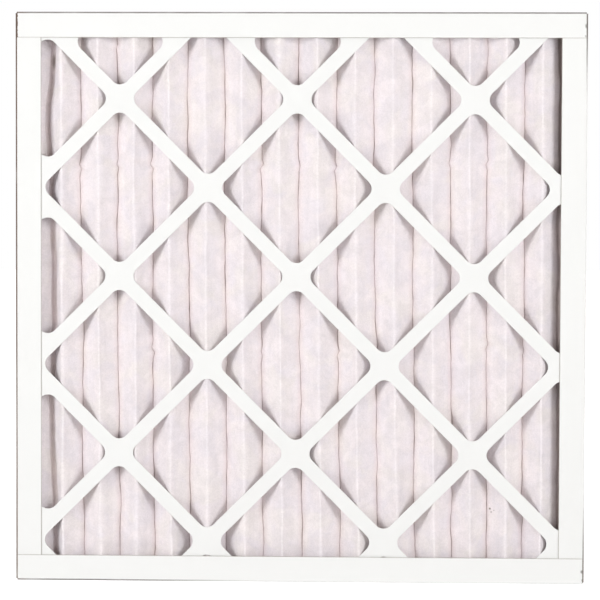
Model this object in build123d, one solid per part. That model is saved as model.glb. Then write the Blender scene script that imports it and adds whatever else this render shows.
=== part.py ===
"""Pleated panel air filter of the nominal 20 x 20 x 1 inch size.

The frame is four channels of folded white board: the top and bottom channels lap
over the ends of the left and right ones.  Inside the frame a pleated sheet of
filter medium is held between two die-cut diamond grids.

X runs across the panel, +Y from its front face to its rear face and +Z up.  The
origin is the middle of the bottom edge that the panel stands on.  Millimetres.
"""

import os
from math import asin, atan2, ceil, cos, hypot, sqrt, tan

from build123d import *

# Panel
PANEL_WIDTH = 495.3
PANEL_HEIGHT = 495.3
PANEL_DEPTH = 19.05

# Frame channels
FRAME_BOARD = 0.7        # board thickness
FRAME_FOLD = 0.4         # inside radius of a fold
FLANGE = 22.2            # from the panel's edge to the flange's free edge
END_SETBACK = 1.2        # top and bottom channels stop short of the side faces
END_GAP = 0.1            # side channels stop short of the folds they nest in

# Die-cut grids
GRID_BOARD = 0.6         # board thickness
GRID_GAP = 0.1           # from the grid's edge to the fold beside it
LATTICE_PITCH = 154.0    # between crossings, across and up
STRAP_WIDTH = 12.3
OPENING_RADIUS = 8.5     # corners of the diamond openings
CROSSING_LEFT = 3.2      # the crossing nearest the panel's middle lies this far left
CROSSING_UP = 18.4       # and this far up from it
LATTICE_TURN = 0.125     # degrees clockwise that the die sits askew on the sheet
LEFT_TUCK = 2.8          # openings are cut off this far behind the left flange
TOP_TUCK = 5.0           # and this far behind the top flange

# Pleated medium
MEDIA_THICKNESS = 1.8
MEDIA_FOLD = 0.5         # inside radius of a fold
FRONT_FOLDS = 16         # folds that touch the front grid
END_RUN = 6.2            # from a side channel's web to the first front fold

# Fits that follow from the sizes above
SIDE_DEPTH = PANEL_DEPTH - 2 * FRAME_BOARD
SIDE_LENGTH = PANEL_HEIGHT - 2 * (FRAME_BOARD + FRAME_FOLD + END_GAP)
LAP_LENGTH = PANEL_WIDTH - 2 * END_SETBACK
INNER_WIDTH = PANEL_WIDTH - 2 * FRAME_BOARD
INNER_HEIGHT = PANEL_HEIGHT - 2 * FRAME_BOARD
GRID_WIDTH = INNER_WIDTH - 2 * (FRAME_FOLD + GRID_GAP)
GRID_HEIGHT = INNER_HEIGHT - 2 * (FRAME_FOLD + GRID_GAP)
GRID_FACE = SIDE_DEPTH / 2 - FRAME_BOARD
MEDIA_FACE = GRID_FACE - GRID_BOARD
MIDDLE = Pos(0, 0, PANEL_HEIGHT / 2)


def folded_sheet(face_line, thickness, side, width):
    """A sheet with one face on the line, drawn out evenly to both sides of it."""
    section = make_face(face_line.offset_2d(thickness, side=side))
    return extrude(section, amount=width / 2, both=True)


def channel(depth, length):
    """A U of board along X: the web's outer face at Z = 0, the flanges below it."""
    corners = [
        (-depth / 2, -FLANGE),
        (-depth / 2, 0),
        (depth / 2, 0),
        (depth / 2, -FLANGE),
    ]
    outside = Plane.YZ * FilletPolyline(*corners, radius=FRAME_FOLD + FRAME_BOARD)
    return folded_sheet(outside.wire(), FRAME_BOARD, Side.RIGHT, length)


def frame():
    """The four channels, the side ones nested in the ends of the other two."""
    lap = Pos(0, 0, PANEL_HEIGHT / 2) * channel(PANEL_DEPTH, LAP_LENGTH)
    side = Pos(0, 0, PANEL_WIDTH / 2) * channel(SIDE_DEPTH, SIDE_LENGTH)
    return {
        "top_channel": MIDDLE * lap,
        "bottom_channel": MIDDLE * Rot(Y=180) * lap,
        "left_channel": MIDDLE * Rot(Y=-90) * side,
        "right_channel": MIDDLE * Rot(Y=90) * side,
    }


def lattice_openings():
    """Diamonds with rounded corners, which run on past the sheet's right and bottom.

    Each is drawn smaller by the corner radius, cut off at the border lines and then
    grown by the radius, so a corner at a border is as round as the others.
    """
    half = LATTICE_PITCH / 2
    side = LATTICE_PITCH / sqrt(2) - STRAP_WIDTH - 2 * OPENING_RADIUS
    across = ceil(PANEL_WIDTH / LATTICE_PITCH) + 1
    up = ceil(PANEL_HEIGHT / LATTICE_PITCH) + 1
    diamonds = [
        Pos(column * half - CROSSING_LEFT, row * half + CROSSING_UP)
        * Rectangle(side, side, rotation=45)
        for column in range(-across, across + 1)
        for row in range(-up, up + 1)
        if (column + row) % 2
    ]
    left = FLANGE - LEFT_TUCK - PANEL_WIDTH / 2 + OPENING_RADIUS
    top = PANEL_HEIGHT / 2 - FLANGE + TOP_TUCK - OPENING_RADIUS
    lattice = Rot(Z=-LATTICE_TURN) * (Sketch() + diamonds)
    within = Rectangle(PANEL_WIDTH, PANEL_HEIGHT, align=(Align.MIN, Align.MAX))
    return offset(lattice & Pos(left, top) * within, amount=OPENING_RADIUS)


def front_grid():
    """A board sheet die-cut to straps that cross in a diamond lattice.

    It has plain borders at the left and top.  At the right and bottom the lattice
    runs off the sheet, behind the flanges.
    """
    sheet = Rectangle(GRID_WIDTH, GRID_HEIGHT) - lattice_openings()
    board = extrude(Plane.XZ * sheet, amount=GRID_BOARD)
    return Pos(0, -MEDIA_FACE, PANEL_HEIGHT / 2) * board


def pleated_media():
    """One sheet folded to and fro, its ends turned back along the side channels.

    The sheet bends round two rows of fold axes, front and rear, and runs straight
    between them.  The line drawn here is its front face: that is the outside of a
    front fold and the inside of a rear one.
    """
    outside = MEDIA_FOLD + MEDIA_THICKNESS
    axis = MEDIA_FACE - outside
    last = INNER_WIDTH / 2 - END_RUN
    step = last / (FRONT_FOLDS - 1)
    spacing = hypot(step, 2 * axis)
    slope = atan2(2 * axis, step) + asin((outside + MEDIA_FOLD) / spacing)
    front = -axis - outside / cos(slope)
    rear = axis + MEDIA_FOLD / cos(slope)
    turn = front + END_RUN * tan(slope)
    folds = range(2 * FRONT_FOLDS - 1)
    pleats = [(fold * step - last, rear if fold % 2 else front) for fold in folds]
    radii = [MEDIA_FOLD if fold % 2 else outside for fold in folds]
    right_end = [(INNER_WIDTH / 2, turn), (INNER_WIDTH / 2, MEDIA_FACE)]
    left_end = [(-x, y) for x, y in reversed(right_end)]
    face = FilletPolyline(
        *left_end, *pleats, *right_end, radius=[outside, *radii, outside]
    )
    return MIDDLE * folded_sheet(face.wire(), MEDIA_THICKNESS, Side.LEFT, INNER_HEIGHT)


def nodes():
    """Every piece of the filter, by name."""
    grid = front_grid()
    return {
        **frame(),
        "front_grid": grid,
        "rear_grid": Rot(Z=180) * grid,
        "pleated_media": pleated_media(),
    }


if __name__ == "__main__":
    os.makedirs("parts", exist_ok=True)
    for name, piece in nodes().items():
        piece.label = name
        export_step(piece, f"parts/{name}.step")
        print(f"{name}: {len(piece.solids())} solid, {piece.volume / 1000:.1f} cm3")
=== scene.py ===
"""Pleated panel air filter: the folded medium, the finishes of the board and a stage.

The frame and the die-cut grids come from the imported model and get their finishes
here.  The filter medium is folded here as one sheet, with the uneven folds of a real
one, in place of the plain pleats of the model.  Metres, the front face towards -Y.
"""

from math import asin, atan2, cos, exp, hypot, pi, radians, sin

import bpy
from bpy.props import FloatProperty, FloatVectorProperty, IntProperty, PointerProperty
from mathutils import Matrix, Vector, noise


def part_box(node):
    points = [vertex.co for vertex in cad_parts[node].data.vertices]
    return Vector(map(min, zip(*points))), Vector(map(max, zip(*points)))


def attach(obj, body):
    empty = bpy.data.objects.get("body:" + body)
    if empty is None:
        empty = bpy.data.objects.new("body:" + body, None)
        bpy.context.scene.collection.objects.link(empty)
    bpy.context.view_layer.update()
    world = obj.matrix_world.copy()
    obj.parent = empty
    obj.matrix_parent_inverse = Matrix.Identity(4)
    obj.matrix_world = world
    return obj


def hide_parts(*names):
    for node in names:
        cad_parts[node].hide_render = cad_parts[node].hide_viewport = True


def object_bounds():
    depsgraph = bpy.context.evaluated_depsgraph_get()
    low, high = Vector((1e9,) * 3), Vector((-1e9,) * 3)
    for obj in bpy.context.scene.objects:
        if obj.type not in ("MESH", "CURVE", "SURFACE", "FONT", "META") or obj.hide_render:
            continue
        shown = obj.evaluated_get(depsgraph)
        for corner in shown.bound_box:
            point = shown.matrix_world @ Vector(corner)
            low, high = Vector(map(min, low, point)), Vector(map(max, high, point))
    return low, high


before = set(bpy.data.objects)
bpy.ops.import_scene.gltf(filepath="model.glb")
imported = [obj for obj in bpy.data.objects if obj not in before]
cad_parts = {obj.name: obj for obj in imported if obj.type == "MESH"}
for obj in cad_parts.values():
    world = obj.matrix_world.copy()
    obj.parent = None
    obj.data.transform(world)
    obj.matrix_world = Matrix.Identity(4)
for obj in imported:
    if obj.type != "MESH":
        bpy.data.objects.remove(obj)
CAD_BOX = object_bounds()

bl_info = {
    "name": "Pleated Air Filter",
    "version": (1, 0, 0),
    "blender": (4, 5, 0),
    "location": "View3D > Sidebar > Air Filter",
    "description": "Folds the medium, finishes the board and sets the stage",
    "category": "Object",
}

LOW, HIGH = (Vector(corner) for corner in CAD_BOX)
MIDDLE = (LOW + HIGH) / 2
HALF_WIDTH = HIGH.x
HALF_DEPTH = HIGH.y
HALF_HEIGHT = (HIGH.z - LOW.z) / 2

LAP_CHANNELS = ("top_channel", "bottom_channel")
SIDE_CHANNELS = ("left_channel", "right_channel")
GRIDS = ("front_grid", "rear_grid")
FOLD_OUTSIDE = 0.0011   # outside radius of the channels' folds

# Where the folds of the medium lie, besides their even spacing.  The first two are
# pairs of a place across the panel and the stray there, at the top edge and added on
# the way down to the bottom one; the third is a height and the first pleat's stray.
PLEAT_CREEP = (
    (-0.190, 0.0005),
    (-0.160, -0.0002),
    (-0.110, -0.0024),
    (-0.032, -0.0032),
    (0.032, -0.0016),
    (0.080, -0.0005),
    (0.128, 0.0014),
    (0.190, 0.0016),
)
PLEAT_LEAN = (
    (-0.200, 0.0036),
    (-0.100, 0.0030),
    (0.000, 0.0052),
    (0.090, 0.0062),
    (0.130, 0.0038),
    (0.170, 0.0018),
    (0.200, 0.0002),
)
END_LEAN = (
    (0.055, 0.0088),
    (0.142, 0.0056),
    (0.250, 0.0088),
    (0.340, 0.0068),
    (0.403, 0.0034),
    (0.450, 0.0088),
)
# The places where the pleating machine gripped a fold: the fold, counted from the
# left with the front ones, the height, and how far the fold jogs there.
PINCHES = (
    (3, 0.3615, -0.0022),
    (5, 0.3620, -0.0021),
    (5, 0.4660, 0.0014),
    (7, 0.3620, -0.0024),
    (7, 0.2010, -0.0028),
    (13, 0.3620, 0.0022),
    (13, 0.1985, -0.0015),
    (15, 0.3600, 0.0009),
    (17, 0.3600, 0.0024),
    (17, 0.1990, 0.0017),
    (19, 0.3620, -0.0012),
    (23, 0.3630, -0.0017),
    (25, 0.3660, 0.0025),
    (25, 0.2060, 0.0022),
    (27, 0.2000, 0.0016),
)
PINCH_LENGTH = 0.0034
PINCH_SWING = 1.15      # makes the swing to each side about half the jog
PINCH_REACH = 0.007     # the mesh is finer this near to a pinch
PINCH_STEP = 0.4        # share of the row step that it has there

# Layers of noise: the share of each, its spread from one number to the next, its
# cycles a metre of height, and a seed.
STRAY_LAYERS = ((1.3, 3.71, 11, 0.4), (0.9, 5.13, 46, 7.2), (0.5, 6.71, 110, 9.6))
OPEN_LAYERS = ((0.95, 4.3, 19, 6.1), (0.6, 2.9, 75, 1.2))
SAG_LAYERS = ((1.0, 1.9, 17, 2.1),)
DENT_LAYERS = ((1.0, 85, 38, 1.7), (0.5, 210, 75, 5.5))

OPEN_MEAN = 0.36        # how far the pleats stand open on the whole, from 0 to 1
CLOSED_SHARE = 0.15     # of its gap and of its crease's painted shade and soil, what a closed pleat keeps
LEAN_GROWTH = 1.6       # power by which the lean grows from the top to the bottom
END_HOLD = 8            # power by which the end folds are held in place
CREST_STRAY = 0.45      # share of a fold's stray that a front fold follows
FOLD_SAG = 0.0003       # how far a fold can lie back from the grid
CREST_SAG = 0.6         # shares of it that the front and the rear folds take
VALLEY_SAG = 0.5
CALM = 0.15             # share of the relief that the folds keep

EDGE_GAP = 0.0001       # from the sheet's cut edges to the channels' webs
WEB_GAP = 0.00005       # from its turned-back ends to the side channels' webs
LEG_START = 0.0006      # the ends reach this far past the rear folds' middle line
LEG_STEP = 0.0022       # spacing of the mesh along them
LEG_POINTS = 4
CORNER_RISE = 0.0015    # from the first front fold's axis to the corner beside it
SHOULDER = 0.0006       # painted crease shade and soil reach this far up the sides from the bottom of a pleat
# shares of the painted crease shade and soil on a pleat's shoulders and at its mouth
SHOULDER_SOIL_AND_SHADE = 0.1
MOUTH_SOIL_AND_SHADE = 0.6
BEND_SHARES = (0, 0.25, 0.5, 0.75, 1)
SIDE_SHARES = (0.25, 0.5, 0.75)

# Dark specks on the front of the medium: across, up, half width, half height and strength.
SPECKS = (
    (-0.2158, 0.4530, 0.0022, 0.0095, 0.60),
    (0.1663, 0.0640, 0.0011, 0.0013, 0.95),
    (0.1674, 0.0612, 0.0007, 0.0012, 0.70),
    (0.1697, 0.0628, 0.0006, 0.0008, 0.60),
)

# Bruises at the right ends of the top and bottom channels, given in the same way.
# They reach back from the front face by NICK_DEPTH.
NICKS = (
    (0.2462, 0.4835, 0.0016, 0.0030, 0.85),
    (0.2455, 0.4748, 0.0012, 0.0014, 0.50),
    (0.2460, 0.0108, 0.0020, 0.0022, 0.90),
    (0.2462, 0.0035, 0.0010, 0.0016, 0.60),
)
NICK_DEPTH = 0.004

# The brown, ragged corner at the top left: where it fades in, and how wide it is on
# the end of the top channel and on the fold of the side channel beneath it.
RAGGED_LEFT = (-0.2440, -0.2445)
RAGGED_FRONT = (-0.0074, -0.0078)
RAGGED_FADE = 0.0006
RAGGED_END = 0.0010
RAGGED_FOLD = 0.0017

# Where a finish sets in and where it is full, across or up from the panel's middle.
FADE_RIGHT = (-0.17, -0.01)     # the painted fold shade of the bottom channel fades out to here
FADE_LOW = (0.1, -0.1)
LEFT_HALF = (0.01, -0.01)
SHADED_ENDS = (0.165, 0.240)      # the right channel's painted fold shade is strong only near its ends
BROWN_LEFT = (-0.235, -0.244)
# where the painted shade in the pleat at the right end sets in, across and up
END_SHADE_RIGHT = (0.2120, 0.2225)
END_SHADE_UP = (0.07, 0.13)
CORE_WALL = (0.00002, 0.00012)  # depth in a die-cut wall at which the core shows

FIBRE_CONTRAST = 0.018
FIBRE_BUMP = 0.00005
FELT_BUMP = 0.00022

# The stage.  The places are given for the lamps at the right.
FRONT_LAMP = (1.80, -1.85, 0.64)
REAR_LAMP = (1.85, 1.75, 0.90)
TOP_LAMP = (0.0, -0.55, 2.40)
LAMP_WIDTH = 1.1
LAMP_HEIGHT = 1.4
LAMP_COLOUR = (0.958, 0.990, 1.0)
FLOOR_RADIUS = 9
AIM_LEFT = 0.0002       # the camera looks at a point this far left of the middle


class MediumSettings(bpy.types.PropertyGroup):
    """Sizes and colours of the filter medium."""

    thickness: FloatProperty(
        name="Thickness",
        description="Thickness of the sheet",
        default=0.0018,
        unit="LENGTH",
    )
    front_folds: IntProperty(
        name="Front Folds",
        description="Folds that touch the front grid",
        default=16,
        min=2,
    )
    end_run: FloatProperty(
        name="End Run",
        description="From a side channel's web to the first front fold",
        default=0.0062,
        unit="LENGTH",
    )
    fold_radius: FloatProperty(
        name="Fold Radius",
        description="Radius of the sheet's middle line at a front fold",
        default=0.0014,
        unit="LENGTH",
    )
    crease_gap: FloatProperty(
        name="Crease Gap",
        description="Width left between the two layers at the bottom of a pleat",
        default=0.00020,
        unit="LENGTH",
    )
    end_gap: FloatProperty(
        name="End Gap",
        description="How far the first and last pleats stand open at their bottom",
        default=0.0045,
        unit="LENGTH",
    )
    crease_depth: FloatProperty(
        name="Crease Depth",
        description="Depth over which the two layers lie against each other",
        default=0.0003,
        unit="LENGTH",
    )
    wander: FloatProperty(
        name="Wander",
        description="How far a fold strays from side to side along its height",
        default=0.0011,
        unit="LENGTH",
    )
    pinch: FloatProperty(
        name="Pinch",
        description="Share of the jogs where the pleating machine gripped a fold",
        default=1.0,
    )
    relief: FloatProperty(
        name="Relief",
        description="Height of the soft dents in the sides of the pleats",
        default=0.0005,
        unit="LENGTH",
    )
    row_step: FloatProperty(
        name="Row Step",
        description="Spacing of the mesh along a fold",
        default=0.0045,
        unit="LENGTH",
    )
    colour: FloatVectorProperty(
        name="Colour",
        description="Colour of the fibres",
        subtype="COLOR",
        default=(0.830, 0.766, 0.786),
    )
    cool_colour: FloatVectorProperty(
        name="Cool Colour",
        description="Colour of the cooler patches",
        subtype="COLOR",
        default=(0.794, 0.740, 0.776),
    )
    warm_colour: FloatVectorProperty(
        name="Warm Colour",
        description="Colour of the creamy patches",
        subtype="COLOR",
        default=(0.837, 0.782, 0.772),
    )
    # Painted shade deep in the pleats: a warm darkening of the fibres' colour.
    deep_shade_colour: FloatVectorProperty(
        name="Deep Colour",
        description="Tint of the dusty fibres deep in the pleats",
        subtype="COLOR",
        default=(0.930, 0.885, 0.865),
    )
    # The specks, and the painted shade deep in the pleat at the right end.
    speck_and_shade_colour: FloatVectorProperty(
        name="Dust Colour",
        description="Colour of the dust and specks",
        subtype="COLOR",
        default=(0.120, 0.078, 0.058),
    )
    # Painted shade at the bottoms of the folds, with the compressed fibres and dust there.
    crease_shade_and_soil_colour: FloatVectorProperty(
        name="Crease Colour",
        description="Colour of the compressed fibres and dust along a crease",
        subtype="COLOR",
        default=(0.420, 0.345, 0.335),
    )


class BoardSettings(bpy.types.PropertyGroup):
    """Sizes and colours of the white board."""

    colour: FloatVectorProperty(
        name="Colour",
        description="Colour of the board's coated face",
        subtype="COLOR",
        default=(0.795, 0.795, 0.790),
    )
    core_colour: FloatVectorProperty(
        name="Core Colour",
        description="Colour of the board's grey core at a cut edge",
        subtype="COLOR",
        default=(0.430, 0.400, 0.370),
    )
    # The painted shade along the outer folds, and the bruises at the right ends of the top
    # and bottom channels.
    fold_shade_and_nick_colour: FloatVectorProperty(
        name="Fold Shade Colour",
        description="Colour of the outer folds, where the coating is cracked and soiled",
        subtype="COLOR",
        default=(0.200, 0.184, 0.176),
    )
    # Brown painted shade along the outer folds at the left, and the frayed fibres at the top
    # left corner.
    brown_shade_and_fray_colour: FloatVectorProperty(
        name="Scuffed Colour",
        description="Colour of the brown fibres at the left side and its top corner",
        subtype="COLOR",
        default=(0.130, 0.085, 0.065),
    )
    # Width of the painted shade along the outer folds.
    fold_shade_width: FloatProperty(
        name="Worn Width",
        description="How far the worn line of an outer fold reaches onto the flat board",
        default=0.0003,
        unit="LENGTH",
    )
    cut_width: FloatProperty(
        name="Cut Width",
        description="Width of the line where the core shows along a cut edge",
        default=0.0004,
        unit="LENGTH",
    )


class StudioSettings(bpy.types.PropertyGroup):
    """Lamps, floor and camera."""

    left_power: FloatProperty(
        name="Left Power",
        description="Power of the softbox at the left",
        default=43.2,
        unit="POWER",
    )
    right_power: FloatProperty(
        name="Right Power",
        description="Power of the softbox at the right",
        default=36.4,
        unit="POWER",
    )
    top_power: FloatProperty(
        name="Top Power",
        description="Power of the softbox overhead",
        default=6.2,
        unit="POWER",
    )
    rear_power: FloatProperty(
        name="Rear Power",
        description="Power of each of the two softboxes behind the panel",
        default=29.0,
        unit="POWER",
    )
    ambient: FloatProperty(
        name="Ambient",
        description="Strength of the light from all round",
        default=0.20,
    )
    ambient_colour: FloatVectorProperty(
        name="Ambient Colour",
        description="Colour of the light from all round",
        subtype="COLOR",
        default=(1.0, 0.81, 0.67),
    )
    floor_colour: FloatVectorProperty(
        name="Floor Colour",
        description="Colour of the floor",
        subtype="COLOR",
        default=(0.92, 0.92, 0.92),
    )
    lens: FloatProperty(
        name="Lens",
        description="Focal length",
        default=151.4,
        unit="CAMERA",
    )
    distance: FloatProperty(
        name="Distance",
        description="From the camera to the point that it looks at",
        default=2.2,
        unit="LENGTH",
    )
    azimuth: FloatProperty(
        name="Azimuth",
        description="Turn of the camera to the right of the front",
        default=radians(1.77),
        subtype="ANGLE",
    )
    elevation: FloatProperty(
        name="Elevation",
        description="Height of the camera over the level",
        default=radians(2.41),
        subtype="ANGLE",
    )
    roll: FloatProperty(
        name="Roll",
        description="Turn of the camera about its own axis",
        default=radians(0.195),
        subtype="ANGLE",
    )
    aim_height: FloatProperty(
        name="Aim Height",
        description="Height of the point that the camera looks at",
        default=0.2458,
        unit="LENGTH",
    )


# --- Node trees --------------------------------------------------------------------


def feed(tree, socket, value):
    """Joins a socket to an output, or gives it a plain value."""
    if isinstance(value, bpy.types.NodeSocket):
        tree.links.new(value, socket)
    elif hasattr(value, "__len__") and len(value) == 3 and socket.type == "RGBA":
        socket.default_value = (*value, 1.0)
    else:
        socket.default_value = value


def add(tree, kind, label, at, inputs=None, **settings):
    """A labelled node at a column and row of the editor, with what feeds it."""
    node = tree.nodes.new(kind)
    node.name = node.label = label
    node.location = (at[0] * 190, at[1] * -170)
    for name, value in settings.items():
        setattr(node, name, value)
    for key, value in (inputs or {}).items():
        feed(tree, node.inputs[key], value)
    return node


def sum_of(tree, label, at, operation, *terms):
    """The result of a Math node."""
    inputs = dict(enumerate(terms))
    node = add(tree, "ShaderNodeMath", label, at, inputs, operation=operation)
    return node.outputs[0]


def mixed(tree, label, at, share, first, second, blend="MIX"):
    """Two colours mixed by a share from 0 to 1."""
    inputs = {0: share, 6: first, 7: second}
    settings = {"data_type": "RGBA", "blend_type": blend}
    return add(tree, "ShaderNodeMix", label, at, inputs, **settings).outputs[2]


def ramp(tree, label, at, value, start, end, low=0.0, high=1.0):
    """A value carried smoothly from low at its start to high at its end."""
    inputs = {"Value": value, "From Min": start, "From Max": end}
    inputs |= {"To Min": low, "To Max": high}
    settings = {"interpolation_type": "SMOOTHSTEP", "clamp": True}
    if start > end:
        inputs |= {"From Min": end, "From Max": start, "To Min": high, "To Max": low}
    return add(tree, "ShaderNodeMapRange", label, at, inputs, **settings).outputs[0]


def grain(tree, label, at, vector, scale, detail=2.0, distortion=0.0):
    """Noise of a given scale, in cycles a metre."""
    inputs = {"Vector": vector, "Scale": scale, "Detail": detail}
    inputs["Distortion"] = distortion
    return add(tree, "ShaderNodeTexNoise", label, at, inputs).outputs[0]


def stretched(tree, label, at, vector, scale):
    """Coordinates stretched by a scale along each axis."""
    inputs = {"Vector": vector, "Scale": scale}
    return add(tree, "ShaderNodeMapping", label, at, inputs).outputs[0]


def new_group(name, inputs, outputs):
    """An empty node group with its sockets, and the nodes that stand for them."""
    group = bpy.data.node_groups.new(name, "ShaderNodeTree")
    for direction, sockets in (("INPUT", inputs), ("OUTPUT", outputs)):
        for label, kind, default in sockets:
            socket = group.interface.new_socket(
                name=label, in_out=direction, socket_type=kind
            )
            if default is not None:
                socket.default_value = default
    start = add(group, "NodeGroupInput", "Inputs", (0, 0))
    end = add(group, "NodeGroupOutput", "Outputs", (6, 0))
    return group, start.outputs, end.inputs


def board_fibre_group():
    """Fine paper fibre: a tone about 1 to lay over the colour, and a height."""
    group, given, result = new_group(
        "Board Fibre",
        [
            ("Vector", "NodeSocketVector", None),
            ("Fibre Scale", "NodeSocketFloat", 900.0),
            ("Cloud Scale", "NodeSocketFloat", 22.0),
            ("Contrast", "NodeSocketFloat", 0.03),
        ],
        [("Tone", "NodeSocketFloat", None), ("Height", "NodeSocketFloat", None)],
    )
    point = given["Vector"]
    fibre = grain(group, "Fibres", (1, 0), point, given["Fibre Scale"], 3.0, 1.5)
    cloud = grain(group, "Clouds", (1, 2), point, given["Cloud Scale"])
    both = sum_of(group, "Fibres And Clouds", (2, 1), "ADD", fibre, cloud)
    centred = sum_of(group, "Centred", (3, 1), "SUBTRACT", both, 1.0)
    swing = sum_of(group, "Swing", (4, 1), "MULTIPLY", centred, given["Contrast"])
    tone = sum_of(group, "Tone", (5, 1), "ADD", swing, 1.0)
    feed(group, result["Tone"], tone)
    feed(group, result["Height"], fibre)
    return group


def ragged_line_group():
    """A line along an edge: 1 at distance 0, fading out at a ragged width."""
    group, given, result = new_group(
        "Ragged Line",
        [
            ("Vector", "NodeSocketVector", None),
            ("Distance", "NodeSocketFloat", 1.0),
            ("Width", "NodeSocketFloat", 0.001),
            ("Raggedness", "NodeSocketFloat", 0.5),
            ("Scale", "NodeSocketFloat", 400.0),
        ],
        [("Mask", "NodeSocketFloat", None)],
    )
    bite = grain(group, "Bites", (1, 1), given["Vector"], given["Scale"])
    centred = sum_of(group, "Centred", (2, 1), "SUBTRACT", bite, 0.5)
    rough = sum_of(group, "Rough", (3, 1), "MULTIPLY", centred, given["Raggedness"])
    share = sum_of(group, "Share", (3, 0), "DIVIDE", given["Distance"], given["Width"])
    edge = sum_of(group, "Edge", (4, 0), "ADD", share, rough)
    feed(group, result["Mask"], ramp(group, "Fade", (5, 0), edge, 1.0, 0.6))
    return group


def line_along(tree, label, at, vector, distance, width, raggedness, scale):
    """The mask of a ragged line along an edge."""
    inputs = {"Vector": vector, "Distance": distance, "Width": width}
    inputs |= {"Raggedness": raggedness, "Scale": scale}
    node = add(tree, "ShaderNodeGroup", label, at)
    node.node_tree = bpy.data.node_groups["Ragged Line"]
    for key, value in inputs.items():
        feed(tree, node.inputs[key], value)
    return node.outputs["Mask"]


def new_material(name):
    """An empty material with a Principled BSDF at its end."""
    material = bpy.data.materials.new(name)
    material.use_nodes = True
    tree = material.node_tree
    tree.nodes.clear()
    shader = add(tree, "ShaderNodeBsdfPrincipled", "Surface", (12, 0))
    add(tree, "ShaderNodeOutputMaterial", "Output", (14, 0), {0: shader.outputs[0]})
    return material, tree, shader


def raised(tree, label, at, height, distance):
    """A bump of the given height."""
    inputs = {"Height": height, "Distance": distance, "Strength": 1.0}
    return add(tree, "ShaderNodeBump", label, at, inputs).outputs[0]


def place_on_panel(tree):
    """Object coordinates, and the distances across, up and through from the middle."""
    point = add(tree, "ShaderNodeTexCoord", "Place", (-2, 0)).outputs["Object"]
    axes = add(tree, "ShaderNodeSeparateXYZ", "Axes", (-1, 0), {0: point}).outputs
    up = sum_of(tree, "Up", (0, 1), "SUBTRACT", axes[2], MIDDLE.z)
    return point, axes[0], axes[1], up


def fibre_finish(tree, shader, point, colour):
    """Lays the board's fibre over a colour and bumps the surface with it."""
    node = add(tree, "ShaderNodeGroup", "Board Fibre", (9, 3))
    node.node_tree = bpy.data.node_groups["Board Fibre"]
    feed(tree, node.inputs["Vector"], point)
    feed(tree, node.inputs["Contrast"], FIBRE_CONTRAST)
    tone = node.outputs["Tone"]
    toned = mixed(tree, "Toned", (11, 0), 1.0, colour, tone, "MULTIPLY")
    feed(tree, shader.inputs["Base Color"], toned)
    normal = raised(tree, "Fibre Bump", (11, 3), node.outputs["Height"], FIBRE_BUMP)
    feed(tree, shader.inputs["Normal"], normal)
    feed(tree, shader.inputs["Roughness"], 0.62)
    feed(tree, shader.inputs["Specular IOR Level"], 0.25)


def speck_mask(tree, number, point, place, reach, strength):
    """A soft round speck about a place, as strong as given at its middle."""
    row = -6 - number
    away = add(
        tree, "ShaderNodeVectorMath", "Away", (5, row), {0: point, 1: place},
        operation="SUBTRACT"
    ).outputs[0]
    share = add(
        tree, "ShaderNodeVectorMath", "Share", (6, row), {0: away, 1: reach},
        operation="DIVIDE"
    ).outputs[0]
    length = add(
        tree, "ShaderNodeVectorMath", "Length", (7, row), {0: share}, operation="LENGTH"
    ).outputs["Value"]
    return ramp(tree, "Speck", (7, row), length, 1.0, 0.2, 0.0, strength)


# --- The board ---------------------------------------------------------------------


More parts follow.
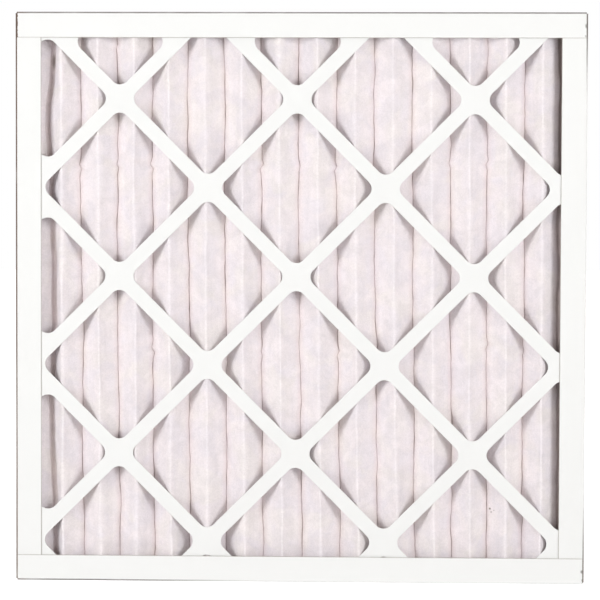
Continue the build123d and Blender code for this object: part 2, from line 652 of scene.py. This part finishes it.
def channel_material(name, lap, board):
    """White board with painted shade along its outer folds and a core that shows at its cut
    edges.
    """
    material, tree, shader = new_material(name)
    point, across, through, up = place_on_panel(tree)
    far = sum_of(tree, "Far Across", (0, 2), "ABSOLUTE", across)
    high = sum_of(tree, "Far Up", (1, 1), "ABSOLUTE", up)
    deep = sum_of(tree, "Far Through", (0, 3), "ABSOLUTE", through)
    outward, along = (high, far) if lap else (far, high)
    half = HALF_HEIGHT if lap else HALF_WIDTH
    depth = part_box(LAP_CHANNELS[0] if lap else SIDE_CHANNELS[0])[1][1]
    low_corner, high_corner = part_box("bottom_channel")
    flange = high_corner[2] - low_corner[2]
    length = high_corner[0] if lap else HALF_HEIGHT

    from_web = sum_of(tree, "From Web", (2, 1), "SUBTRACT", half, outward)
    from_face = sum_of(tree, "From Face", (2, 3), "SUBTRACT", depth, deep)
    from_fold = sum_of(tree, "From Edges", (3, 1), "ADD", from_web, from_face)
    from_fold = sum_of(tree, "From Fold", (4, 2), "SUBTRACT", from_fold, FOLD_OUTSIDE)
    from_cut = sum_of(tree, "From Cut", (3, 2), "SUBTRACT", flange, from_web)
    from_end = sum_of(tree, "From End", (3, 3), "SUBTRACT", length, along)

    # Painted shade along the outer folds: a patchy dark line, fading out towards the right
    # along the bottom channel, strong only near the ends of the right channel, brown at the
    # left.
    painted_fold_shade = line_along(
        tree, "Fold Shade Line", (4, 1), point, from_fold, board.fold_shade_width, 0.5, 260.0
    )
    patches = grain(tree, "Shade Patches", (4, 0), point, 34.0, 3.0)
    if lap:
        right = ramp(tree, "Towards Right", (4, -1), across, *FADE_RIGHT)
        low = ramp(tree, "Towards Bottom", (4, -2), up, *FADE_LOW)
        faded = sum_of(tree, "Faded", (5, -1), "MULTIPLY", right, low)
        kept = sum_of(tree, "Kept", (6, -1), "SUBTRACT", 1.0, faded)
        patchiness = ramp(tree, "Shade Patchiness", (5, 0), patches, 0.2, 0.5, 0.6, 0.85)
        brown = ramp(tree, "Left End", (5, 3), across, *BROWN_LEFT)
    else:
        left = ramp(tree, "Towards Left", (4, -1), across, *LEFT_HALF)
        ends = ramp(tree, "Towards Ends", (4, -2), high, *SHADED_ENDS, 0.03)
        kept = sum_of(tree, "Kept", (6, -1), "MAXIMUM", left, ends)
        patchiness = ramp(tree, "Shade Patchiness", (5, 0), patches, 0.2, 0.5, 0.8, 1.0)
        brown = left
    strength = sum_of(tree, "Shade Strength", (7, 0), "MULTIPLY", kept, patchiness)
    painted_fold_shade = sum_of(tree, "Painted Fold Shade", (8, 0), "MULTIPLY", painted_fold_shade, strength)
    shade_tint = mixed(
        tree, "Fold Shade Colour", (7, 2), brown, board.fold_shade_and_nick_colour, board.brown_shade_and_fray_colour
    )

    cut = line_along(
        tree, "Cut Edge", (4, 2), point, from_cut, board.cut_width, 0.4, 300.0
    )
    end = line_along(
        tree, "Cut End", (4, 3), point, from_end, board.cut_width, 0.6, 300.0
    )
    cut = sum_of(tree, "Cuts", (5, 2), "MAXIMUM", cut, end)

    colour = mixed(tree, "Cut Board", (8, 2), cut, board.colour, board.core_colour)
    colour = mixed(tree, "Fold Shaded Board", (9, 0), painted_fold_shade, colour, shade_tint)

    from_side = from_end if lap else from_web
    top_edge = HALF_HEIGHT - flange
    corner = top_left_corner(tree, across, through, up, top_edge)
    ragged_end = line_along(
        tree, "Ragged End", (6, 4), point, from_side, RAGGED_END if lap else RAGGED_FOLD,
        1.7, 560.0
    )
    frayed = sum_of(tree, "Frayed End", (8, 4), "MULTIPLY", ragged_end, corner)
    colour = mixed(tree, "Frayed Board", (10, 0), frayed, colour, board.brown_shade_and_fray_colour)
    for number, (x, z, wide, tall, strength) in enumerate(NICKS if lap else ()):
        place, reach = (x, -HALF_DEPTH, z), (wide, NICK_DEPTH, tall)
        nick = speck_mask(tree, number, point, place, reach, strength)
        at = (8, -6 - number)
        colour = mixed(tree, "Nicked", at, nick, colour, board.fold_shade_and_nick_colour)
    fibre_finish(tree, shader, point, colour)
    return material


def top_left_corner(tree, across, through, up, top_edge):
    """A mask of the front of the top left corner, down to the top flange's edge."""
    at_top = ramp(
        tree, "At The Top", (5, 4), up, top_edge - RAGGED_FADE, top_edge + RAGGED_FADE
    )
    at_left = ramp(tree, "At The Left", (5, 5), across, *RAGGED_LEFT)
    at_front = ramp(tree, "At The Front", (5, 6), through, *RAGGED_FRONT)
    corner = sum_of(tree, "Top Left", (6, 5), "MULTIPLY", at_top, at_left)
    return sum_of(tree, "Top Left Front", (7, 5), "MULTIPLY", corner, at_front)


def grid_material(board):
    """White board whose core shows in the walls of the die-cut openings."""
    material, tree, shader = new_material("grid_board")
    point, across, through, up = place_on_panel(tree)
    deep = sum_of(tree, "Far Through", (0, 3), "ABSOLUTE", through)
    low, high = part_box("rear_grid")[0][1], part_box("rear_grid")[1][1]
    from_inner = sum_of(tree, "From Inner Face", (1, 3), "SUBTRACT", deep, low)
    from_outer = sum_of(tree, "From Outer Face", (1, 4), "SUBTRACT", high, deep)
    inside = sum_of(tree, "Inside", (2, 3), "MINIMUM", from_inner, from_outer)
    core = ramp(tree, "Core", (3, 3), inside, *CORE_WALL)
    colour = mixed(tree, "Cut Board", (8, 2), core, board.colour, board.core_colour)
    fibre_finish(tree, shader, point, colour)
    return material


def coat(names, material):
    """Gives CAD nodes their material."""
    for name in names:
        mesh = bpy.data.objects[name].data
        mesh.materials.clear()
        mesh.materials.append(material)


# --- The medium --------------------------------------------------------------------


def along_pairs(pairs, place):
    """A smooth reading between pairs of a place and an amount."""
    if place <= pairs[0][0]:
        return pairs[0][1]
    for (start, low), (end, high) in zip(pairs, pairs[1:]):
        if place <= end:
            share = (place - start) / (end - start)
            return low + (high - low) * share * share * (3 - 2 * share)
    return pairs[-1][1]


def layered(layers, number, height, start=0.0):
    """Layers of smooth noise along the height, their own for every number."""
    return sum(
        (
            share * noise.noise(Vector((number * spread, height * cycles, seed)))
            for share, spread, cycles, seed in layers
        ),
        start,
    )


def stray(fold, height, size):
    """How far a fold lies from its even place at a height."""
    amount = size.wander * layered(STRAY_LAYERS, fold, height)
    for pinched, place, jog in PINCHES:
        if pinched == fold:
            off = (height - place) / PINCH_LENGTH
            amount += size.pinch * jog * PINCH_SWING * off * exp(-off * off)
    return amount


def openness(fold, height):
    """How far the bottom of a pleat stands open at a height, from 0 to 1."""
    share = min(1.0, max(0.0, layered(OPEN_LAYERS, fold, height, OPEN_MEAN)))
    for pinched, place, jog in PINCHES:
        if pinched == fold:
            share *= 1 - exp(-(((height - place) / PINCH_LENGTH) ** 2))
    return share * share * (3 - 2 * share)


def tangent(centre, radius, point, side):
    """The angle of the line from a point that touches a circle on one side."""
    run, rise = point[0] - centre[0], point[1] - centre[1]
    return atan2(rise, run) + side * asin(min(1.0, radius / hypot(run, rise)))


def folds_at(height, size):
    """The crests and the valleys of the sheet at a height.

    A crest is the middle of a front fold's bend.  A valley is a rear fold's place, how
    far back it lies, half the width of its bend, and its crease's painted shade and soil.
    """
    low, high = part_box("pleated_media")
    face = high[1] - size.thickness / 2
    last = high[0] - size.end_run
    step = last / (size.front_folds - 1)
    drop = ((high[2] - height) / (high[2] - low[2])) ** LEAN_GROWTH
    crests, valleys = [], []
    for fold in range(2 * size.front_folds - 1):
        place = fold * step - last
        free = 1 - abs(place / last) ** END_HOLD
        creep = along_pairs(PLEAT_CREEP, place) + drop * along_pairs(PLEAT_LEAN, place)
        place += creep * free
        sag = FOLD_SAG * (1 + layered(SAG_LAYERS, fold, height))
        if fold % 2:
            if fold == 1:
                place += along_pairs(END_LEAN, height)
            place += stray(fold, height, size)
            gape = openness(fold, height)
            gap = size.crease_gap * (CLOSED_SHARE + gape)
            if fold in (1, 2 * size.front_folds - 3):
                gap += size.end_gap
                gape = 0.0
            snug = (size.thickness + gap) / 2
            # the painted shade and soil of a crease grow as its pleat stands open
            soil_and_shade = CLOSED_SHARE + (1 - CLOSED_SHARE) * gape
            valleys.append((place, face - VALLEY_SAG * sag, snug, soil_and_shade))
        else:
            place += CREST_STRAY * stray(fold, height, size)
            crests.append((place, size.fold_radius - face + CREST_SAG * sag))
    return crests, valleys


def part_way(start, end, share, mark=0.0):
    """A point on the straight line between two others, with its mark."""
    x = start[0] + (end[0] - start[0]) * share
    y = start[1] + (end[1] - start[1]) * share
    return x, y, mark


def straight_side(start, end):
    """Points along the straight side of a pleat, between two folds."""
    return [part_way(start, end, share) for share in SIDE_SHARES]


def distance(start, end):
    """The distance between two points, whatever their marks."""
    return hypot(end[0] - start[0], end[1] - start[1])


def mouth(valley, side, size):
    """Where the straight side at the left, -1, or the right, 1, meets a rear fold."""
    place, bottom, snug, soil_and_shade = valley
    return place + side * snug, bottom - snug - size.crease_depth


def front_bend(crest, radius, before, after):
    """The arc of a front fold between the points that its two sides run to."""
    start = tangent(crest, radius, before, -1) + pi / 2
    end = tangent(crest, radius, after, 1) - pi / 2
    if start > 0:
        start -= 2 * pi
    if end > 0:
        end -= 2 * pi
    return [
        (
            crest[0] + radius * cos(start + (end - start) * share),
            crest[1] + radius * sin(start + (end - start) * share),
            1.0 - abs(2 * share - 1),
        )
        for share in BEND_SHARES
    ]


def rear_bend(valley, size):
    """The half circle of a rear fold, between the mouths at its two sides."""
    place, bottom, snug, soil_and_shade = valley
    points = [(*mouth(valley, -1, size), -MOUTH_SOIL_AND_SHADE * soil_and_shade)]
    for share in BEND_SHARES:
        turn = pi * (1 - share)
        y = bottom - snug + snug * sin(turn)
        points.append((place + snug * cos(turn), y, -soil_and_shade))
    points.append((*mouth(valley, 1, size), -MOUTH_SOIL_AND_SHADE * soil_and_shade))
    return points


def fold_line(height, size):
    """The middle line of the sheet at a height: points, and how deep in a fold each is.

    A mark above 0 belongs to a front fold, one below 0 to a rear fold.
    """
    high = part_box("pleated_media")[1]
    start = high[1] - size.thickness / 2 + LEG_START
    web = high[0] - size.thickness / 2 - WEB_GAP
    radius = size.fold_radius
    crests, valleys = folds_at(height, size)
    leg = [(-web, start - LEG_STEP * turn, 0.0) for turn in range(LEG_POINTS)]
    left_corner = (-web, crests[0][1] + CORNER_RISE, 0.0)
    right_corner = (web, crests[-1][1] + CORNER_RISE, 0.0)

    line = [*leg, left_corner]
    for index, crest in enumerate(crests):
        before, after = left_corner, right_corner
        if index > 0:
            before = mouth(valleys[index - 1], 1, size)
        if index < len(valleys):
            after = mouth(valleys[index], -1, size)
        arc = front_bend(crest, radius, before, after)
        line += straight_side(line[-1], arc[0])
        line += arc
        if index < len(valleys):
            line += straight_side(arc[-1], after)
            share = 1 - SHOULDER / distance(arc[-1], after)
            line.append(part_way(arc[-1], after, share, -SHOULDER_SOIL_AND_SHADE))
            line += rear_bend(valleys[index], size)
            following = crests[index + 1]
            share = SHOULDER / distance(line[-1], following)
            outside = (following[0], following[1] - radius)
            line.append(part_way(line[-1], outside, share, -SHOULDER_SOIL_AND_SHADE))
    line += straight_side(line[-1], right_corner)
    line.append(right_corner)
    line += [(web, y, 0.0) for x, y, mark in reversed(leg)]
    return line


def row_heights(low, high, step):
    """Heights of the mesh rows, closer together where the folds are pinched."""
    heights, height = [], low
    while height < high - step / 3:
        heights.append(height)
        near = min(abs(height - place) for fold, place, jog in PINCHES)
        height += step * (PINCH_STEP if near < PINCH_REACH else 1.0)
    heights.append(high)
    return heights


def skin_points(heights, size):
    """The points of the front and the rear skin, with what the material reads there.

    Also where the points lie on the unfolded sheet, and its width.
    """
    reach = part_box("pleated_media")[1][1]
    skins, marks, depths = ([], []), ([], []), ([], [])
    places, lengths = [], []
    for height in heights:
        line = fold_line(height, size)
        run = 0.0
        for column, (x, y, mark) in enumerate(line):
            before = line[max(column - 1, 0)]
            after = line[min(column + 1, len(line) - 1)]
            dx, dy = after[0] - before[0], after[1] - before[1]
            span = hypot(dx, dy)
            out = Vector((dy / span, -dx / span, 0))
            if column:
                run += hypot(x - before[0], y - before[1])
            dent = layered(DENT_LAYERS, run, height) * (1.0 if mark == 0 else CALM)
            centre = Vector((x, y, height)) + out * (size.relief * dent)
            skins[0].append(centre + out * (size.thickness / 2))
            skins[1].append(centre - out * (size.thickness / 2))
            marks[0].append(max(0.0, -mark))
            marks[1].append(max(0.0, mark))
            depths[0].append((reach + y) / (2 * reach))
            depths[1].append((reach - y) / (2 * reach))
            places.append((run, height))
        lengths.append(run)
    return skins, marks, depths, places, sum(lengths) / len(lengths)


def closed_faces(rows, columns):
    """Faces of two skins of points in rows, and of the cut edges that join them."""
    count = rows * columns
    faces = []
    for row in range(rows - 1):
        for column in range(columns - 1):
            a = row * columns + column
            b, c, d = a + 1, a + columns + 1, a + columns
            faces.append((a, b, c, d))
            faces.append((count + d, count + c, count + b, count + a))
    rim = list(range(columns))
    rim += [row * columns + columns - 1 for row in range(1, rows)]
    rim += [count - 1 - column for column in range(1, columns)]
    rim += [row * columns for row in range(rows - 2, 0, -1)]
    for a, b in zip(rim, rim[1:] + rim[:1]):
        faces.append((b, a, count + a, count + b))
    return faces


def folded_medium(size):
    """The medium as one closed mesh, with the width and height of the flat sheet."""
    low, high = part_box("pleated_media")
    heights = row_heights(low[2] + EDGE_GAP, high[2] - EDGE_GAP, size.row_step)
    skins, marks, depths, places, width = skin_points(heights, size)
    count = len(places)
    mesh = bpy.data.meshes.new("folded_medium")
    faces = closed_faces(len(heights), count // len(heights))
    mesh.from_pydata([*skins[0], *skins[1]], [], faces)
    for name, values in (
        ("crease", marks[0] + marks[1]),
        ("depth", depths[0] + depths[1]),
        ("front", [1.0] * count + [0.0] * count),
    ):
        mesh.attributes.new(name, "FLOAT", "POINT").data.foreach_set("value", values)
    layer = mesh.uv_layers.new(name="unfolded")
    for loop in mesh.loops:
        layer.uv[loop.index].vector = places[loop.vertex_index % count]
    mesh.shade_smooth()
    mesh.validate()
    return mesh, width, heights[-1] - heights[0]


def medium_material(size):
    """Soft white felt: cloudy patches, streaks along the pleats, grey creases of painted
    shade and soil, painted deep shade, specks.
    """
    material, tree, shader = new_material("filter_medium")
    sheet = add(tree, "ShaderNodeUVMap", "Unfolded", (-2, 0), uv_map="unfolded").outputs[0]
    crease = add(
        tree, "ShaderNodeAttribute", "Crease", (-2, 2), attribute_name="crease"
    ).outputs["Fac"]

    clouds = grain(tree, "Clouds", (0, 0), sheet, 42.0, 3.0, 0.6)
    cool = ramp(tree, "Cool Patches", (1, 0), clouds, 0.38, 0.64)
    colour = mixed(tree, "Cooled", (2, 0), cool, size.colour, size.cool_colour)
    cream = grain(tree, "Cream", (0, -1), sheet, 31.0, 3.0, 0.6)
    warm = ramp(tree, "Warm Patches", (1, -1), cream, 0.46, 0.66, 0.0, 0.7)
    colour = mixed(tree, "Warmed", (3, -1), warm, colour, size.warm_colour)

    streak_run = stretched(tree, "Streak Run", (-1, 1), sheet, (1.0, 0.09, 1.0))
    streaks = grain(tree, "Streaks", (0, 1), streak_run, 300.0, 2.0, 0.5)
    streak_tone = ramp(tree, "Streak Tone", (1, 1), streaks, 0.3, 0.7, 0.985, 1.012)
    fibres = grain(tree, "Fibres", (0, 3), sheet, 330.0, 4.0, 2.4)
    fibre_tone = ramp(tree, "Fibre Tone", (1, 3), fibres, 0.3, 0.7, 0.945, 1.03)
    tufts = grain(tree, "Tufts", (0, 4), sheet, 78.0, 3.0, 0.8)
    tuft_tone = ramp(tree, "Tuft Tone", (1, 4), tufts, 0.34, 0.66, 0.960, 1.028)
    tone = sum_of(tree, "Tone", (2, 2), "MULTIPLY", streak_tone, fibre_tone)
    tone = sum_of(tree, "Tufted Tone", (2, 3), "MULTIPLY", tone, tuft_tone)
    colour = mixed(tree, "Toned", (3, 0), 1.0, colour, tone, "MULTIPLY")

    # Painted shade along the bottoms of the folds, with the compressed fibres and dust
    # there, in patches.
    patches = grain(tree, "Crease Patches", (1, 5), sheet, 70.0, 2.0)
    strength = ramp(tree, "Crease Strength", (2, 5), patches, 0.32, 0.72, 0.15, 0.95)
    line = sum_of(tree, "Crease Soil And Shade", (3, 4), "MULTIPLY", crease, strength)
    colour = mixed(tree, "Creased", (8, 0), line, colour, size.crease_shade_and_soil_colour)

    point, across, through, up = place_on_panel(tree)
    depth = add(
        tree, "ShaderNodeAttribute", "Depth", (3, -3), attribute_name="depth"
    ).outputs["Fac"]
    front = add(
        tree, "ShaderNodeAttribute", "Front", (3, -5), attribute_name="front"
    ).outputs["Fac"]
    # Painted shade: the colour darkens towards warm brown deeper in the pleats.
    deep = ramp(tree, "Deep", (4, -3), depth, 0.55, 1.0)
    colour = mixed(tree, "Painted Deep Shade", (9, -1), deep, colour, size.deep_shade_colour, "MULTIPLY")
    # Painted shade deep in the pleat at the right end, beside the right channel, stronger
    # towards the top.
    at_end = ramp(tree, "At The Right End", (4, -4), across, *END_SHADE_RIGHT)
    low_down = ramp(tree, "Deep Down", (5, -3), depth, 0.45, 0.95)
    higher_up = ramp(tree, "Stronger Up High", (5, -4), up, *END_SHADE_UP, 0.38, 0.64)
    low_down = sum_of(tree, "Shaded Bottom", (6, -3), "MULTIPLY", low_down, higher_up)
    shut_in = sum_of(tree, "Shut In", (6, -4), "MULTIPLY", at_end, low_down)
    dust_and_shade = sum_of(tree, "End Shade", (7, -4), "MULTIPLY", shut_in, front)
    for number, (x, z, wide, tall, strength) in enumerate(SPECKS):
        speck = speck_mask(tree, number, point, (x, 0, z), (wide, 1, tall), strength)
        speck = sum_of(tree, "Front Speck", (8, -6 - number), "MULTIPLY", speck, front)
        dust_and_shade = sum_of(tree, "Dust And Shade", (9, -6 - number), "MAXIMUM", dust_and_shade, speck)
    colour = mixed(tree, "Dusty And Shaded", (10, -1), dust_and_shade, colour, size.speck_and_shade_colour)
    feed(tree, shader.inputs["Base Color"], colour)

    coarse = sum_of(tree, "Coarse", (2, 6), "MULTIPLY", clouds, 2.5)
    height = sum_of(tree, "Height", (3, 6), "ADD", coarse, fibres)
    normal = raised(tree, "Felt Bump", (8, 3), height, FELT_BUMP)
    feed(tree, shader.inputs["Normal"], normal)
    feed(tree, shader.inputs["Roughness"], 0.95)
    feed(tree, shader.inputs["Specular IOR Level"], 0.1)
    feed(tree, shader.inputs["Sheen Weight"], 0.15)
    feed(tree, shader.inputs["Sheen Roughness"], 0.6)
    return material


# --- Operators ---------------------------------------------------------------------


class AIRFILTER_OT_finish_frame(bpy.types.Operator):
    """Finish the four channels of the frame as white board"""

    bl_idname = "air_filter.finish_frame"
    bl_label = "Finish Frame"

    def execute(self, context):
        board = context.scene.air_filter_board
        coat(LAP_CHANNELS, channel_material("lap_board", True, board))
        coat(SIDE_CHANNELS, channel_material("side_board", False, board))
        return {"FINISHED"}


class AIRFILTER_OT_finish_grids(bpy.types.Operator):
    """Finish the two die-cut grids as white board"""

    bl_idname = "air_filter.finish_grids"
    bl_label = "Finish Grids"

    def execute(self, context):
        coat(GRIDS, grid_material(context.scene.air_filter_board))
        return {"FINISHED"}


class AIRFILTER_OT_fold_medium(bpy.types.Operator):
    """Fold the filter medium from one sheet and put it in place of the plain pleats"""

    bl_idname = "air_filter.fold_medium"
    bl_label = "Fold Medium"

    def execute(self, context):
        size = context.scene.air_filter_medium
        mesh, width, height = folded_medium(size)
        medium = bpy.data.objects.new("folded_medium", mesh)
        context.collection.objects.link(medium)
        mesh.materials.append(medium_material(size))
        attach(medium, "root")
        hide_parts("pleated_media")
        return {"FINISHED"}


class AIRFILTER_OT_set_stage(bpy.types.Operator):
    """Set up the floor, the softboxes and the camera"""

    bl_idname = "air_filter.set_stage"
    bl_label = "Set Stage"

    def execute(self, context):
        studio = context.scene.air_filter_studio
        context.scene.view_settings.view_transform = "Standard"
        lay_floor(studio)
        light_room(context.scene, studio)
        for name, place, side, power in (
            ("left_softbox", FRONT_LAMP, -1, studio.left_power),
            ("right_softbox", FRONT_LAMP, 1, studio.right_power),
            ("top_softbox", TOP_LAMP, 1, studio.top_power),
            ("rear_left_softbox", REAR_LAMP, -1, studio.rear_power),
            ("rear_right_softbox", REAR_LAMP, 1, studio.rear_power),
        ):
            hang_softbox(context, name, (side * place[0], *place[1:]), power)
        place_camera(context, studio)
        return {"FINISHED"}


def lay_floor(studio):
    """A wide pale floor that the camera sees as white, with the shadows on it."""
    bpy.ops.object.select_all(action="DESELECT")
    bpy.ops.mesh.primitive_circle_add(
        vertices=96, radius=FLOOR_RADIUS, fill_type="NGON"
    )
    floor = bpy.context.object
    floor.name = "floor"
    material = bpy.data.materials.new("floor")
    material.use_nodes = True
    tree = material.node_tree
    tree.nodes.clear()
    seen = add(tree, "ShaderNodeLightPath", "Ray", (0, 0)).outputs["Is Camera Ray"]
    point = add(tree, "ShaderNodeTexCoord", "Place", (-2, 2)).outputs["Object"]
    away = add(
        tree, "ShaderNodeVectorMath", "Away", (-1, 2), {0: point}, operation="LENGTH"
    ).outputs["Value"]
    lift = ramp(tree, "Lift", (0, 2), away, 0.35, 1.1, 0.58, 1.1)
    lift = sum_of(tree, "Seen Lift", (1, 0), "MULTIPLY", seen, lift)
    matt = add(tree, "ShaderNodeBsdfDiffuse", "Matt", (1, 2), {0: studio.floor_colour})
    glow = add(tree, "ShaderNodeEmission", "White", (2, 0), {0: (1, 1, 1), 1: lift})
    both = add(
        tree, "ShaderNodeAddShader", "Both", (3, 1), {0: matt.outputs[0], 1: glow.outputs[0]}
    )
    add(tree, "ShaderNodeOutputMaterial", "Output", (4, 1), {0: both.outputs[0]})
    floor.data.materials.append(material)


def light_room(scene, studio):
    """Even, slightly warm light from all round, behind which the camera sees white."""
    world = bpy.data.worlds.new("studio")
    scene.world = world
    world.use_nodes = True
    tree = world.node_tree
    tree.nodes.clear()
    seen = add(tree, "ShaderNodeLightPath", "Ray", (0, 0)).outputs["Is Camera Ray"]
    room = add(
        tree,
        "ShaderNodeBackground",
        "Room",
        (1, 1),
        {0: studio.ambient_colour, 1: studio.ambient},
    )
    white = add(tree, "ShaderNodeBackground", "White", (1, 2), {0: (1, 1, 1), 1: 1.0})
    both = add(
        tree,
        "ShaderNodeMixShader",
        "Seen",
        (2, 1),
        {0: seen, 1: room.outputs[0], 2: white.outputs[0]},
    )
    add(tree, "ShaderNodeOutputWorld", "Output", (3, 1), {0: both.outputs[0]})


def hang_softbox(context, name, place, power):
    """A large softbox that faces the panel's middle."""
    lamp = bpy.data.lights.new(name, "AREA")
    lamp.shape = "RECTANGLE"
    lamp.size = LAMP_WIDTH
    lamp.size_y = LAMP_HEIGHT
    lamp.energy = power
    lamp.color = LAMP_COLOUR
    box = bpy.data.objects.new(name, lamp)
    context.collection.objects.link(box)
    box.location = place
    aim = Vector((0, 0, MIDDLE.z)) - box.location
    box.rotation_euler = aim.to_track_quat("-Z", "Y").to_euler()


def place_camera(context, studio):
    """The camera, looking at the panel's front from a little above and to the right."""
    lens = bpy.data.cameras.new("camera")
    lens.lens = studio.lens
    lens.clip_end = 100
    camera = bpy.data.objects.new("camera", lens)
    context.collection.objects.link(camera)
    turn, tilt = studio.azimuth, studio.elevation
    back = Vector((sin(turn) * cos(tilt), -cos(turn) * cos(tilt), sin(tilt)))
    level = Vector((0, 0, 1)).cross(back).normalized()
    upright = back.cross(level)
    right = cos(studio.roll) * level + sin(studio.roll) * upright
    up = cos(studio.roll) * upright - sin(studio.roll) * level
    place = Vector((-AIM_LEFT, 0, studio.aim_height)) + back * studio.distance
    axes = Matrix((right, up, back)).transposed()
    camera.matrix_world = Matrix.Translation(place) @ axes.to_4x4()
    context.scene.camera = camera


class AIRFILTER_PT_panel(bpy.types.Panel):
    """Builds the filter's finishes, medium and stage"""

    bl_label = "Air Filter"
    bl_idname = "AIRFILTER_PT_panel"
    bl_space_type = "VIEW_3D"
    bl_region_type = "UI"
    bl_category = "Air Filter"

    def draw(self, context):
        scene = context.scene
        for operator, settings in (
            ("air_filter.finish_frame", scene.air_filter_board),
            ("air_filter.finish_grids", None),
            ("air_filter.fold_medium", scene.air_filter_medium),
            ("air_filter.set_stage", scene.air_filter_studio),
        ):
            box = self.layout.box()
            box.operator(operator)
            for name in getattr(settings, "__annotations__", ()):
                box.prop(settings, name)


SETTINGS = {
    "air_filter_board": BoardSettings,
    "air_filter_medium": MediumSettings,
    "air_filter_studio": StudioSettings,
}
BUTTONS = (
    AIRFILTER_OT_finish_frame,
    AIRFILTER_OT_finish_grids,
    AIRFILTER_OT_fold_medium,
    AIRFILTER_OT_set_stage,
    AIRFILTER_PT_panel,
)


def register():
    for name, settings in SETTINGS.items():
        bpy.utils.register_class(settings)
        setattr(bpy.types.Scene, name, PointerProperty(type=settings))
    for button in BUTTONS:
        bpy.utils.register_class(button)


def unregister():
    for button in reversed(BUTTONS):
        bpy.utils.unregister_class(button)
    for name, settings in reversed(SETTINGS.items()):
        delattr(bpy.types.Scene, name)
        bpy.utils.unregister_class(settings)


def main():
    register()
    board_fibre_group()
    ragged_line_group()
    bpy.ops.air_filter.finish_frame()
    bpy.ops.air_filter.finish_grids()
    bpy.ops.air_filter.fold_medium()
    bpy.ops.air_filter.set_stage()


if __name__ == "__main__":
    main()
